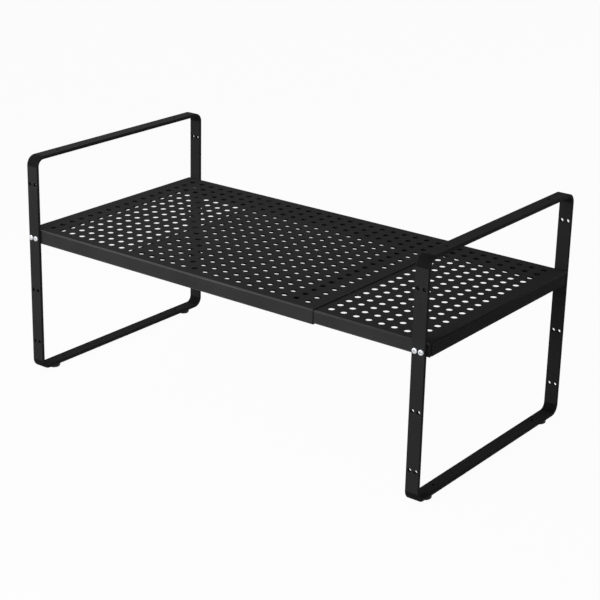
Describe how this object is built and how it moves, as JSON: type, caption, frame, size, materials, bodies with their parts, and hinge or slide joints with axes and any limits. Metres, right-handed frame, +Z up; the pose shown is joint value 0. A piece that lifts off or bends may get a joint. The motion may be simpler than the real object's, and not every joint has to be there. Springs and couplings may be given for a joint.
{
  "type": "expandable spice rack",
  "caption": "Telescoping perforated steel shelf on two bent flat-bar loop legs with rubber feet; the inner tray slides inside the outer one to change the length.",
  "frame": {"origin": "on the floor under the middle of the rack, part extended as in the picture", "axes": "+X along the rack towards the inner tray's end, -Y to the front, +Z up"},
  "size_m": [0.427, 0.227, 0.2065],
  "materials": {
    "powder_coat": "matte black powder coat",
    "zinc_steel": "bright zinc plating",
    "nylon_washer": "black nylon",
    "foot_rubber": "matte black rubber"
  },
  "bodies": {
    "left_half": {"left_tray": "powder_coat", "left_frame": "powder_coat", "left_front_screw_1": "zinc_steel", "left_front_screw_2": "zinc_steel", "left_back_screw_1": "zinc_steel", "left_back_screw_2": "zinc_steel", "left_front_weld_nut_1": "zinc_steel", "left_front_weld_nut_2": "zinc_steel", "left_back_weld_nut_1": "zinc_steel", "left_back_weld_nut_2": "zinc_steel", "left_front_foot": "foot_rubber", "left_back_foot": "foot_rubber"},
    "right_half": {"right_tray": "powder_coat", "right_tray_strap": "powder_coat", "right_frame": "powder_coat", "right_front_screw_1": "zinc_steel", "right_front_screw_2": "zinc_steel", "right_back_screw_1": "zinc_steel", "right_back_screw_2": "zinc_steel", "right_front_weld_nut_1": "zinc_steel", "right_front_weld_nut_2": "zinc_steel", "right_back_weld_nut_1": "zinc_steel", "right_back_weld_nut_2": "zinc_steel", "right_front_washer_1": "nylon_washer", "right_front_washer_2": "nylon_washer", "right_back_washer_1": "nylon_washer", "right_back_washer_2": "nylon_washer", "right_front_foot": "foot_rubber", "right_back_foot": "foot_rubber"}
  },
  "joints": [
    {"name": "extension_slide", "type": "slide", "parent": "left_half", "child": "right_half", "axis": [1, 0, 0], "range_m": [-0.094, 0.165]}
  ]
}
